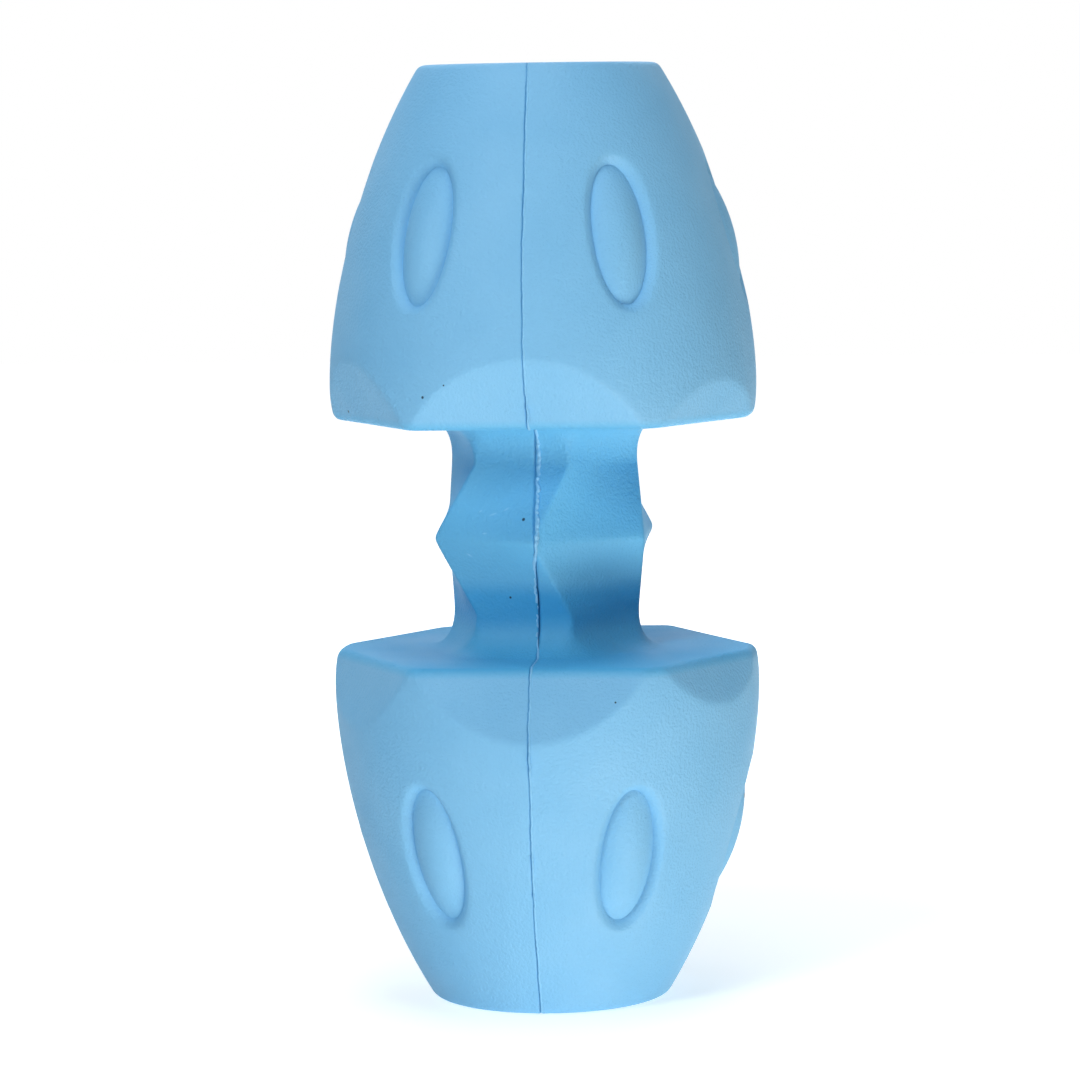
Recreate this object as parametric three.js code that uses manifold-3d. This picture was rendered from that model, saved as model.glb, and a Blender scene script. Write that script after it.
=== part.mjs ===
// Treat dispensing dog toy: two hollow bell-shaped lobes of moulded rubber, rim to rim on a faceted neck.
// The body is two half shells bonded on the plane X = 0. Each open end holds a ring with six flexing petals.
// Millimetres and degrees. The toy stands on its lower end, with its axis on +Z and its seam facing -Y.
import * as THREE from 'three';
import { mergeVertices } from 'three/addons/utils/BufferGeometryUtils.js';
import Module from 'manifold-3d';

const wasm = await Module();
wasm.setup();

// Lobe outline, from the rim plane beside the neck (height 0) to the end face
const LOBE_HEIGHT = 62.4;
const RIM_RADIUS = 37.4;
const RIM_FLARE_ANGLE = 22.7;
const RIM_HANDLE = 6.2;
const END_RADIUS = 21.2;
const END_TAPER_ANGLE = 31.7;
const END_HANDLE = 30.1;
const END_EDGE_ROUND = 1.2;

// Six flat facets cut the round lobe at its rim. Three are stated, and each is repeated half a turn on.
const FRONT_FACET_APOTHEM = 31.6;
const FRONT_FACET_LEAN = 26.5;
const NARROW_FACET_APOTHEM = 34.7;
const NARROW_FACET_LEAN = 24;
const TALL_FACET_APOTHEM = 33.8;
const TALL_FACET_LEAN = 19.5;

// Oval pads, one over each corner between two facets, each in a shallow moat
const PAD_CENTRE = 33.6;
const PAD_LENGTH = 26;
const PAD_WIDTH = 10.4;
const PAD_RISE = 0.45;
const PAD_CROWN = 0.75;
const MOAT_WIDTH = 1.9;
const MOAT_DEPTH = 0.5;

// Neck: a hexagon at mid-height joined to smaller, turned hexagons above and below
const NECK_LENGTH = 42.4;
const NECK_MID_RADIUS = 21.5;
const NECK_END_RADIUS = 17.3;
const NECK_BAND = 13.5;
const NECK_TURN = 20;
const NECK_FILLET = 5.5;
const NECK_BORE_RADIUS = 6.5;

// Treat chamber in each lobe, and the mouth that it opens through
const WALL = 9.2;
const FLOOR = 7;
const FLOOR_ROUND = 7;
const THROAT_SLOPE = 3;
const MOUTH_RADIUS = 14.2;
const MOUTH_DEPTH = 6;
const MOUTH_EDGE = 0.8;

// Gate: a ring in a groove of the mouth, with six petals hung on the sides of its six-sided hole
const GATE_RADIUS = 16.9;
const GATE_THICKNESS = 3;
const GATE_LIP = 3;
const GATE_HOLE_APOTHEM = 12.6;
const PETAL_THICKNESS = 1.8;
const PETAL_TIP_THICKNESS = 1.3;
const PETAL_TIP_APOTHEM = 4;
const PETAL_SLIT = 0.8;

// Bond between the halves, and the pegs that line them up
const BOND_GAP = 0.3;
const PEG_RADIUS = 1.5;
const PEG_LENGTH = 3;
const PEG_HEIGHT = 17;
const FIT_CLEARANCE = 0.3;

// How finely round forms are divided
const ROUND_STEPS = 48;
const INNER_STEPS = 36;
const OUTLINE_STEPS = 12;
const PAD_STEPS = 18;
const NECK_STEPS = 4;
const FILLET_STEPS = 4;
const EDGE_STEPS = 3;
const WALL_STEPS = 6;
const PEG_STEPS = 12;
const PETAL_STEPS = 4;

const SIDES = 6;
const SIDE_ANGLE = 360 / SIDES;
const TOTAL_LENGTH = 2 * LOBE_HEIGHT + NECK_LENGTH;
const MIDDLE = TOTAL_LENGTH / 2;

const radians = THREE.MathUtils.degToRad;

// Point at a radius and an azimuth: 0 faces -Y, and 90 faces +X
function around(radius, azimuth, z) {
  const angle = radians(azimuth);
  return new THREE.Vector3(radius * Math.sin(angle), -radius * Math.cos(angle), z);
}

// Height over a lobe's rim plane as a height over the floor. side is 1 for the upper lobe, -1 for the lower.
function level(side, height) {
  return MIDDLE + side * (NECK_LENGTH / 2 + height);
}

// Outline of the round lobe as radius against height
const outline = new THREE.CubicBezierCurve(
  new THREE.Vector2(RIM_RADIUS, 0),
  new THREE.Vector2(
    RIM_RADIUS + RIM_HANDLE * Math.sin(radians(RIM_FLARE_ANGLE)),
    RIM_HANDLE * Math.cos(radians(RIM_FLARE_ANGLE)),
  ),
  new THREE.Vector2(
    END_RADIUS + END_HANDLE * Math.sin(radians(END_TAPER_ANGLE)),
    LOBE_HEIGHT - END_HANDLE * Math.cos(radians(END_TAPER_ANGLE)),
  ),
  new THREE.Vector2(END_RADIUS, LOBE_HEIGHT),
);
outline.arcLengthDivisions = 400;

// Closed solid from a geometry's positions, turned so that its faces point outwards
function solid(geometry) {
  const bare = new THREE.BufferGeometry();
  bare.setAttribute('position', geometry.getAttribute('position'));
  bare.setIndex(geometry.getIndex());
  const merged = mergeVertices(bare, 1e-4);
  const positions = merged.getAttribute('position');
  const index = merged.getIndex().array;
  const a = new THREE.Vector3();
  const b = new THREE.Vector3();
  const c = new THREE.Vector3();
  const triangles = [];
  let volume = 0;
  for (let k = 0; k < index.length; k += 3) {
    const [i, j, l] = [index[k], index[k + 1], index[k + 2]];
    if (i !== j && j !== l && l !== i) {
      triangles.push(i, j, l);
      a.fromBufferAttribute(positions, i);
      b.fromBufferAttribute(positions, j);
      c.fromBufferAttribute(positions, l);
      volume += a.dot(b.cross(c));
    }
  }
  if (volume < 0) {
    triangles.reverse();
  }
  return new wasm.Manifold(new wasm.Mesh({
    numProp: 3,
    vertProperties: new Float32Array(positions.array),
    triVerts: new Uint32Array(triangles),
  }));
}

// Solid of revolution about the axis from [radius, z] points
function turned(points, steps) {
  const profile = points.map(([radius, z]) => new THREE.Vector2(radius, z));
  return solid(new THREE.LatheGeometry(profile, steps).rotateX(Math.PI / 2));
}

// Solid skinned over rings with the same number of points, closed by flat ends. Each four-sided patch is
// split on its shorter diagonal.
function loft(rings) {
  const points = rings.flat();
  const count = rings[0].length;
  const last = (rings.length - 1) * count;
  const triangles = [];
  for (let start = 0; start < last; start += count) {
    for (let i = 0; i < count; i += 1) {
      const here = start + i;
      const next = start + ((i + 1) % count);
      if (points[here].distanceTo(points[next + count]) < points[next].distanceTo(points[here + count])) {
        triangles.push(here, next, next + count, here, next + count, here + count);
      } else {
        triangles.push(here, next, here + count, next, next + count, here + count);
      }
    }
  }
  for (let i = 1; i + 1 < count; i += 1) {
    triangles.push(0, i + 1, i, last, last + i, last + i + 1);
  }
  const geometry = new THREE.BufferGeometry().setFromPoints(points);
  geometry.setIndex(triangles);
  return solid(geometry);
}

// Round lobe with its end face and the small round on its outer edge
function roundLobe(side) {
  const roundShare = 1 - END_EDGE_ROUND / outline.getLength();
  const edge = new THREE.QuadraticBezierCurve(
    outline.getPointAt(roundShare),
    new THREE.Vector2(END_RADIUS, LOBE_HEIGHT),
    new THREE.Vector2(END_RADIUS - END_EDGE_ROUND, LOBE_HEIGHT),
  );
  const points = [new THREE.Vector2(0, 0)];
  for (let k = 0; k < OUTLINE_STEPS; k += 1) {
    points.push(outline.getPointAt((k / OUTLINE_STEPS) * roundShare));
  }
  points.push(...edge.getPoints(EDGE_STEPS));
  points.push(new THREE.Vector2(0, LOBE_HEIGHT));
  return turned(points.map((point) => [point.x, level(side, point.y)]), ROUND_STEPS);
}

// Six-sided cutter whose sides are the rim facets, each leaning outwards away from the rim
function facetCutter(side) {
  const facets = [
    [FRONT_FACET_APOTHEM, FRONT_FACET_LEAN],
    [NARROW_FACET_APOTHEM, NARROW_FACET_LEAN],
    [TALL_FACET_APOTHEM, TALL_FACET_LEAN],
  ];
  const rings = [-1, LOBE_HEIGHT + 1].map((height) => {
    const reach = [...facets, ...facets].map(([apothem, lean]) => apothem + height * Math.tan(radians(lean)));
    return reach.map((near, k) => {
      const far = reach[(k + 1) % SIDES];
      const across = (far - near * Math.cos(radians(SIDE_ANGLE))) / Math.sin(radians(SIDE_ANGLE));
      const azimuth = k * SIDE_ANGLE + THREE.MathUtils.radToDeg(Math.atan2(across, near));
      return around(Math.hypot(near, across), azimuth, level(side, height));
    });
  });
  return loft(rings);
}

// Oval patch over a lobe's surface: its outer and inner faces stand off the surface by amounts that vary from
// the middle (0) to the edge (1)
function ovalPatch(side, azimuth, halfLength, halfWidth, shares, outer, inner) {
  const total = outline.getLength();
  const place = (share, step, offset) => {
    const turn = (2 * Math.PI * step) / PAD_STEPS;
    const along = (PAD_CENTRE + halfLength * share * Math.sin(turn)) / total;
    const point = outline.getPointAt(along);
    const tangent = outline.getTangentAt(along);
    const swing = THREE.MathUtils.radToDeg((halfWidth * share * Math.cos(turn)) / point.x);
    return around(point.x + offset * tangent.y, azimuth + swing, level(side, point.y - offset * tangent.x));
  };
  const steps = Array.from({ length: PAD_STEPS }, (_, step) => step);
  const ring = (share, offset) => steps.map((step) => place(share, step, offset(share)));
  const outward = shares.map((share) => ring(share, outer));
  const inward = [...shares].reverse().map((share) => ring(share, inner));
  return loft([...outward, ...inward]);
}

// Neck: hexagons whose corners run straight from mid-height to the turned end hexagons, then a fillet
function neck() {
  const hexagon = (radius, turn, z) => (
    Array.from({ length: SIDES }, (_, k) => around(radius, turn + k * SIDE_ANGLE, z))
  );
  const middle = hexagon(NECK_MID_RADIUS, 0, 0);
  const end = hexagon(NECK_END_RADIUS, NECK_TURN, NECK_BAND);
  const half = [];
  for (let k = 0; k <= NECK_STEPS; k += 1) {
    half.push(middle.map((point, i) => point.clone().lerp(end[i], k / NECK_STEPS)));
  }
  for (let k = 0; k <= FILLET_STEPS; k += 1) {
    const angle = (k / FILLET_STEPS) * (Math.PI / 2);
    const radius = NECK_END_RADIUS + NECK_FILLET * (1 - Math.cos(angle));
    half.push(hexagon(radius, NECK_TURN, NECK_LENGTH / 2 - NECK_FILLET * (1 - Math.sin(angle))));
  }
  half.push(hexagon(NECK_END_RADIUS + NECK_FILLET, NECK_TURN, NECK_LENGTH / 2 + 1));
  const below = half.slice(1).reverse().map((ring) => ring.map((point) => point.clone().setZ(-point.z)));
  return loft([...below, ...half].map((ring) => ring.map((point) => point.setZ(point.z + MIDDLE))));
}

const GROOVE_HEIGHT = GATE_THICKNESS + 2 * FIT_CLEARANCE;
const GROOVE_TOP = LOBE_HEIGHT - MOUTH_DEPTH;
const GROOVE_BOTTOM = GROOVE_TOP - GROOVE_HEIGHT;
const GATE_LEVEL = GROOVE_TOP - GROOVE_HEIGHT / 2;
const THROAT_LEVEL = GROOVE_BOTTOM - GATE_LIP;

// Half of the hollow's outline, from the bore in the neck to beyond the end face, as [radius, height]
function hollowOutline() {
  const chamberStart = FLOOR + FLOOR_ROUND;
  const chamberEnd = THROAT_LEVEL - THROAT_SLOPE;
  const rise = (chamberEnd - chamberStart) / WALL_STEPS;
  const heights = Array.from({ length: WALL_STEPS + 1 }, (_, k) => chamberStart + rise * k);
  const samples = outline.getSpacedPoints(200);
  const wallLine = heights.map((height) => {
    const next = samples.findIndex((point) => point.y >= height);
    const share = (height - samples[next - 1].y) / (samples[next].y - samples[next - 1].y);
    return [samples[next - 1].x + share * (samples[next].x - samples[next - 1].x) - WALL, height];
  });
  const corner = [];
  for (let k = 0; k < FILLET_STEPS; k += 1) {
    const angle = (k / FILLET_STEPS) * (Math.PI / 2);
    corner.push([
      wallLine[0][0] - FLOOR_ROUND * (1 - Math.sin(angle)),
      FLOOR + FLOOR_ROUND * (1 - Math.cos(angle)),
    ]);
  }
  return [
    [NECK_BORE_RADIUS, FLOOR],
    ...corner,
    ...wallLine,
    [MOUTH_RADIUS, THROAT_LEVEL],
    [MOUTH_RADIUS, GROOVE_BOTTOM],
    [GATE_RADIUS + FIT_CLEARANCE, GROOVE_BOTTOM],
    [GATE_RADIUS + FIT_CLEARANCE, GROOVE_TOP],
    [MOUTH_RADIUS, GROOVE_TOP],
    [MOUTH_RADIUS, LOBE_HEIGHT - MOUTH_EDGE],
    [MOUTH_RADIUS + MOUTH_EDGE, LOBE_HEIGHT],
    [MOUTH_RADIUS + MOUTH_EDGE, LOBE_HEIGHT + 1],
    [0, LOBE_HEIGHT + 1],
  ];
}

// Hollow right through the toy: mouth, gate groove, chamber, neck bore, and the same again upwards
function hollow() {
  const upper = hollowOutline().map(([radius, height]) => [radius, level(1, height)]);
  const lower = hollowOutline().map(([radius, height]) => [radius, level(-1, height)]);
  return turned([...lower.reverse(), ...upper], INNER_STEPS);
}

// Pegs across the bond plane, two in each lobe's wall
function pegs(radius, length) {
  const middleOfWall = outline.getPointAt(PEG_HEIGHT / outline.getLength()).x - WALL / 2;
  const placed = [];
  for (const side of [1, -1]) {
    for (const face of [1, -1]) {
      const peg = new THREE.CylinderGeometry(radius, radius, 2 * length, PEG_STEPS).rotateZ(Math.PI / 2);
      placed.push(solid(peg.translate(0, face * middleOfWall, level(side, PEG_HEIGHT))));
    }
  }
  return placed.reduce((all, peg) => all.add(peg));
}

// Everything on one side of the bond plane: side 1 keeps +X
function halfSpace(side, from) {
  const size = 3 * TOTAL_LENGTH;
  return solid(new THREE.BoxGeometry(size, size, size).translate(side * (from + size / 2), 0, MIDDLE));
}

// Both half shells: neck and lobes joined, pads and moats formed, hollowed, split and pegged
function shells() {
  let body = neck();
  for (const side of [1, -1]) {
    let lobe = roundLobe(side).intersect(facetCutter(side));
    for (let k = 0; k < SIDES; k += 1) {
      const azimuth = (k + 0.5) * SIDE_ANGLE;
      const [halfLength, halfWidth] = [PAD_LENGTH / 2, PAD_WIDTH / 2];
      const moat = ovalPatch(side, azimuth, halfLength + MOAT_WIDTH, halfWidth + MOAT_WIDTH, [0.7, 1],
        () => 2, (share) => (share < 1 ? -MOAT_DEPTH : 0.1));
      const pad = ovalPatch(side, azimuth, halfLength, halfWidth, [0.45, 0.8, 1],
        (share) => PAD_RISE - PAD_CROWN * share ** 2, () => -3);
      lobe = lobe.subtract(moat).add(pad);
    }
    body = body.add(lobe);
  }
  body = body.subtract(hollow());
  const left = body.intersect(halfSpace(-1, BOND_GAP / 2));
  const right = body.intersect(halfSpace(1, BOND_GAP / 2));
  const peg = pegs(PEG_RADIUS, PEG_LENGTH).intersect(halfSpace(-1, -PEG_LENGTH));
  const socket = pegs(PEG_RADIUS + FIT_CLEARANCE, PEG_LENGTH + FIT_CLEARANCE);
  return { left: left.subtract(socket), right: right.add(peg) };
}

// Ring of a gate with its six-sided hole
function gateRing(side) {
  const z = level(side, GATE_LEVEL);
  const [bottom, top] = [z - GATE_THICKNESS / 2, z + GATE_THICKNESS / 2];
  const disc = turned([[0, bottom], [GATE_RADIUS, bottom], [GATE_RADIUS, top], [0, top]], INNER_STEPS);
  const corner = GATE_HOLE_APOTHEM / Math.cos(radians(SIDE_ANGLE / 2));
  const hole = new THREE.CylinderGeometry(corner, corner, 2 * GATE_THICKNESS, SIDES).rotateX(Math.PI / 2);
  return disc.subtract(solid(hole.rotateZ(radians(SIDE_ANGLE / 2)).translate(0, 0, z)));
}

// One petal: a section with a half-round root on its hinge line and a half-round tip, as wide as its sixth
// of the ring's hole allows
function gatePetal(side, azimuth) {
  const hinge = GATE_HOLE_APOTHEM - FIT_CLEARANCE - PETAL_THICKNESS / 2;
  const tip = PETAL_TIP_APOTHEM + PETAL_TIP_THICKNESS / 2;
  const section = [];
  for (let k = 0; k <= PETAL_STEPS; k += 1) {
    const angle = Math.PI * (k / PETAL_STEPS - 0.5);
    section.push([
      hinge + (PETAL_THICKNESS / 2) * Math.cos(angle),
      (PETAL_THICKNESS / 2) * Math.sin(angle),
    ]);
  }
  for (let k = 0; k <= PETAL_STEPS; k += 1) {
    const angle = Math.PI * (k / PETAL_STEPS + 0.5);
    section.push([
      tip + (PETAL_TIP_THICKNESS / 2) * Math.cos(angle),
      (PETAL_TIP_THICKNESS / 2) * Math.sin(angle),
    ]);
  }
  const halfAngle = radians(SIDE_ANGLE / 2);
  const edges = [-1, 1].map((edge) => section.map(([radius, z]) => {
    const halfWidth = Math.min(radius, hinge) * Math.tan(halfAngle) - PETAL_SLIT / (2 * Math.cos(halfAngle));
    return new THREE.Vector3(edge * halfWidth, -radius, z + level(side, GATE_LEVEL))
      .applyAxisAngle(new THREE.Vector3(0, 0, 1), radians(azimuth));
  }));
  return loft(edges);
}

const toy = new THREE.Group();

function addPiece(name, body, material) {
  const { vertProperties, triVerts } = body.getMesh();
  const geometry = new THREE.BufferGeometry();
  geometry.setAttribute('position', new THREE.BufferAttribute(vertProperties, 3));
  geometry.setIndex(new THREE.BufferAttribute(triVerts, 1));
  geometry.computeVertexNormals();
  const mesh = new THREE.Mesh(geometry, material);
  mesh.name = name;
  toy.add(mesh);
}

const shellRubber = () => new THREE.MeshStandardMaterial({ color: 0x74b9e3, roughness: 0.78, metalness: 0 });
const gateRubber = () => new THREE.MeshStandardMaterial({ color: 0x5ba6d6, roughness: 0.7, metalness: 0 });

const { left, right } = shells();
addPiece('left_half_shell', left, shellRubber());
addPiece('right_half_shell', right, shellRubber());
for (const [end, side] of [['upper', 1], ['lower', -1]]) {
  addPiece(`${end}_gate_ring`, gateRing(side), gateRubber());
  for (let k = 0; k < SIDES; k += 1) {
    addPiece(`${end}_gate_petal_${k + 1}`, gatePetal(side, k * SIDE_ANGLE), gateRubber());
  }
}

export default toy;
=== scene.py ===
import math
from types import SimpleNamespace

import bpy
import numpy as np
from bpy.props import FloatProperty, FloatVectorProperty, PointerProperty
from bpy.types import Operator, Panel, PropertyGroup
from mathutils import Matrix, Vector


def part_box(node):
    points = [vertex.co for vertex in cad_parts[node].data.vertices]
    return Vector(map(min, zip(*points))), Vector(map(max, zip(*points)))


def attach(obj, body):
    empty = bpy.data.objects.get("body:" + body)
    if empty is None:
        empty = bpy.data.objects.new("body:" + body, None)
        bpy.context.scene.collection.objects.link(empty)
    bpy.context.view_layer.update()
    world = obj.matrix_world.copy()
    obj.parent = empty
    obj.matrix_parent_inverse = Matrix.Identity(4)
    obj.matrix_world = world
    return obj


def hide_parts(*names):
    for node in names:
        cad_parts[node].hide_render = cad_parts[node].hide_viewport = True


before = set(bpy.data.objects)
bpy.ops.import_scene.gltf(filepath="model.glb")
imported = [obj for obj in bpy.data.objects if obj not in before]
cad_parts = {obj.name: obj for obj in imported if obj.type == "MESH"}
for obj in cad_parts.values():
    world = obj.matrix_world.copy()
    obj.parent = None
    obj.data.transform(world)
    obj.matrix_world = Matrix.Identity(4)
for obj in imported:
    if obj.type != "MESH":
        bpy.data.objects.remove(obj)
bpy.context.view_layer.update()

bl_info = {
    "name": "Treat Dispensing Dog Toy",
    "version": (1, 0, 0),
    "blender": (4, 5, 0),
    "location": "View3D > Sidebar > Dog Toy",
    "description": "Moulded rubber dog toy with a torn seam, oval pads and petal gates",
    "category": "Object",
}

MM = 0.001
SIXTH = math.pi / 3
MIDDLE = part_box("right_half_shell")[1].z / 2 / MM
PETALS = 6
ENDS = (("upper", 1), ("lower", -1))
HALVES = ("right_half_shell", "left_half_shell")

# Rows of the outer skin from mouth to mid-height, and spacing in mm of the lobe wall's rows between its stops
FACE_ROWS, END_ROWS, RIM_ROWS, SHOULDER_ROWS, FILLET_ROWS, NECK_ROWS = 4, 6, 7, 6, 10, 56
WALL_SPACING = (1.4, 1.0, 0.27, 0.6, 0.6, 0.27, 0.7, 0.39)
# Distances from the bond plane of the columns at a half shell's edge, and their room to the others, in mm
EDGE_STEPS, EDGE_CLEAR = np.array([0, 0.06, 0.15, 0.28, 0.44, 0.65, 1.0, 1.6]), 0.5
# The grid follows a pad's oval out to the first of these sizes, and is straight again from the second
PAD_HOLD, PAD_BLOCK = 1.2, 1.5
# Columns on each side of a pad's middle: on the pad, in its moat, up to the straight grid and up to the next pad
PAD_COLUMNS = (12, 6, 6, 9)
# The halves change places on the neck this far below mid-height, in mm
CHANGE_BELOW = 3
# Seeds of the random lines, and the step from the front seam's to the back seam's
WAVER_SEED, EDGE_SEED, FLASH_SEED, BACK_SEED = 40, 60, 70, 10
# Lumps of flash on the lobes: lift over mid-height and half-length in mm
LUMPS = ((23.7, 2.0), (-35.2, 3.2), (-54.3, 1.6), (-60.4, 0.5))
# Widths in mm over which the painted shade in the creases at a pad's edge and in the seam fades out; the seam's width
# also shapes its rounded edge drop
PAD_CREASE, SEAM_CREASE = 0.3, 0.12

# Grains of grit: place and half-width in mm
GRIT = (
    ((-2.05, -18.36, 87.6), 0.24), ((-4.92, -14.9, 73.46), 0.17), ((35.34, -0.5, 35.8), 0.4),
    ((-17.59, -33.85, 110.2), 0.2), ((-13.73, -35.51, 112.34), 0.12), ((-33.71, -10.7, 106.3), 0.2),
    ((14.95, -34.38, 57.43), 0.14),
)
# Scuffs on the neck: place and half-length in mm, and tilt in degrees
SCUFFS = (
    ((-10.02, -14.26, 88.73), 0.5, 30), ((-7.73, -15.42, 88.27), 1.0, 21), ((-5.28, -16.17, 89.21), 0.8, 30),
    ((-12.19, -13.84, 80.91), 0.8, -25), ((-9.24, -15.84, 84.93), 0.6, 5),
)

# Soft square lamps: place and size in mm, watts and colour. The table lamps stand for a pale table's warmer light, and
# shine up through the floor
COOL, WARM = "EBF6FF", "FFF4EB"
LAMPS = (
    ("key_left", (-293, -628, 484), 220, 2.68, COOL),
    ("high_front", (0, -274, 835), 220, 0.74, COOL),
    ("top", (0, -28, 883), 400, 2.24, COOL),
    ("table_low", (363, -628, -254), 250, 0.98, WARM),
    ("table_front", (283, -490, -482), 250, 2.11, WARM),
    ("table_right", (490, -283, -482), 250, 1.79, WARM),
    ("back_table", (0, 750, -190), 400, 4.2, WARM),
    ("back_left_fill", (-224, 615, 543), 400, 0.8, COOL),
    ("back_right_fill", (224, 615, 543), 400, 0.8, COOL),
)


def amount(name, description, value, **kind):
    """A number that a user can change, with its unit or subtype if it has one."""
    return FloatProperty(name=name, description=description, default=value, **kind)


def length(name, description, millimetres):
    """A length, stated in millimetres and kept in metres."""
    return amount(name, description, millimetres * MM, unit="LENGTH")


def angle(name, description, degrees):
    """An angle, stated in degrees and kept in radians."""
    return amount(name, description, math.radians(degrees), subtype="ANGLE")


def linear(hex_colour):
    """sRGB hex value as linear red, green and blue."""
    parts = [int(hex_colour[i:i + 2], 16) / 255 for i in (0, 2, 4)]
    return [p / 12.92 if p <= 0.04045 else ((p + 0.055) / 1.055) ** 2.4 for p in parts]


def colour(name, description, hex_colour):
    """A colour, stated as sRGB hex."""
    return FloatVectorProperty(name=name, description=description, default=linear(hex_colour), size=3,
                               subtype="COLOR", min=0, max=1)


class LobeSizes(PropertyGroup):
    """Outline of a lobe, and the flat facets round its rim"""
    height: length("Height", "From the rim plane to the end face", 63.0)
    rim_radius: length("Rim radius", "Round outline's radius at the rim", 37.4)
    rim_flare: angle("Rim flare", "Lean of the outline at the rim", 22.7)
    rim_handle: length("Rim handle", "Reach of the outline's curve handle at the rim", 6.2)
    rim_round: length("Rim round", "Round between the rim and the shoulder", 1.5)
    end_radius: length("End radius", "Radius of the end face", 21.2)
    end_taper: angle("End taper", "Lean of the outline at the end face", 31.7)
    end_handle: length("End handle", "Reach of the outline's curve handle at the end", 30.1)
    end_round: length("End round", "Round on the edge of the end face", 1.2)
    front_apothem: length("Front facet", "Distance of the front and back facets at the rim", 31.6)
    front_lean: angle("Front facet lean", "Outward lean of the front and back facets", 26.5)
    narrow_apothem: length("Narrow facet", "Distance of the narrow facets at the rim", 34.7)
    narrow_lean: angle("Narrow facet lean", "Outward lean of the narrow facets", 24)
    tall_apothem: length("Tall facet", "Distance of the tall facets at the rim", 33.8)
    tall_lean: angle("Tall facet lean", "Outward lean of the tall facets", 19.5)
    facet_blend: length("Facet blend", "Softness of the facets' edges", 0.35)


class PadSizes(PropertyGroup):
    """Oval pads between the facets, each in a shallow moat"""
    centre: length("Centre", "Along the outline from the rim", 34.4)
    length: length("Length", "Along the outline", 25.1)
    width: length("Width", "Round the lobe", 10.4)
    swing: angle("Swing", "Swing of each half's last pad towards the one before it", 2.1)
    rise: length("Rise", "Height of a pad's middle over the lobe", 0.5)
    crown: length("Crown", "Height of a pad's middle over its edge", 1.95)
    moat_width: length("Moat width", "From the pad's edge to the lobe's own surface", 1.75)
    moat_depth: length("Moat depth", "Depth of the moat at the pad's edge", 1.45)


class NeckSizes(PropertyGroup):
    """Six-sided neck, widest at mid-height and turned towards its ends"""
    length: length("Length", "Between the two shoulders", 41.2)
    mid_radius: length("Mid radius", "Corner radius at mid-height", 21.5)
    end_radius: length("End radius", "Corner radius above and below the band", 17.3)
    band_blend: amount("Band blend", "Share of the slanted faces that turns upright at their ends", 0.07)
    turn: angle("Turn", "Turn of the end hexagons against the middle one", 20)
    fillet: length("Fillet", "Round into the shoulders", 6.5)
    corner_blend: length("Corner blend", "Softness of the neck's corners", 0.5)
    shoulder_blend: length("Shoulder blend", "Softness of the corners where the neck meets a shoulder", 7)
    ridge_round: length("Ridge round", "Round on the ridge at mid-height", 0.7)


class HollowSizes(PropertyGroup):
    """Hollow of each lobe, and the mouth that it opens through"""
    wall: length("Wall", "Thickness of the lobe's wall", 9.2)
    floor: length("Floor", "From the rim plane to the chamber's floor", 7)
    floor_round: length("Floor round", "Round between floor and wall", 7)
    bore_radius: length("Bore radius", "Bore through the neck", 6.5)
    mouth_radius: length("Mouth radius", "Mouth and the lip under the gate", 14.2)
    mouth_depth: length("Mouth depth", "From the end face to the gate's groove", 6)
    mouth_edge: length("Mouth edge", "Round on the mouth's edge", 0.8)
    throat_slope: length("Throat slope", "Height of the slope from wall to lip", 3)


class GateSizes(PropertyGroup):
    """Ring and petals that hold the treats back"""
    radius: length("Ring radius", "Outer radius of the ring", 16.9)
    thickness: length("Ring thickness", "Thickness of the ring", 3)
    lip: length("Lip", "Thickness of the lip that the ring sits on", 3)
    root_apothem: length("Root", "Distance of the petals' roots from the axis", 12.3)
    clearance: length("Clearance", "Gap round the ring", 0.3)
    root_gap: length("Root gap", "Gap between the petals' roots and the ring", 0.08)
    petal_root: length("Petal root", "Thickness of a petal at its hinge line", 1.8)
    petal_tip: length("Petal tip", "Thickness of a petal at its tip", 1.3)
    tip_apothem: length("Tip", "Distance of the petals' tips from the axis", 4)
    slit: length("Slit", "Gap between two petals", 0.8)


class SeamSizes(PropertyGroup):
    """Seam where the halves meet, and the torn flash along it"""
    gap: length("Gap", "Gap between the two halves, which press together at the skin", 0.03)
    edge_drop: length("Edge drop", "Depth of the rounded edge beside the gap", 0.13)
    waver: length("Waver", "How far the seam strays to either side", 0.25)
    lobe_lip: length("Lip on lobes", "Height of the half shells' swollen edges on the lobes", 0.02)
    neck_lip: length("Lip on neck", "Height of the half shells' swollen edges on the neck", 0.1)
    lip_width: length("Lip width", "Half-width of the swollen edges", 0.45)
    lobe_flash: length("Flash on lobes", "Height of the torn flash on the lobes", 0.32)
    neck_flash: length("Flash on neck", "Height of the torn flash on the neck", 0.75)
    lobe_flash_width: length("Flash width on lobes", "Half-width of the torn flash on the lobes", 0.17)
    neck_flash_width: length("Flash width on neck", "Half-width of the torn flash on the neck", 0.36)
    tear: length("Tear", "Spacing of the flash's teeth", 0.45)


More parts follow.
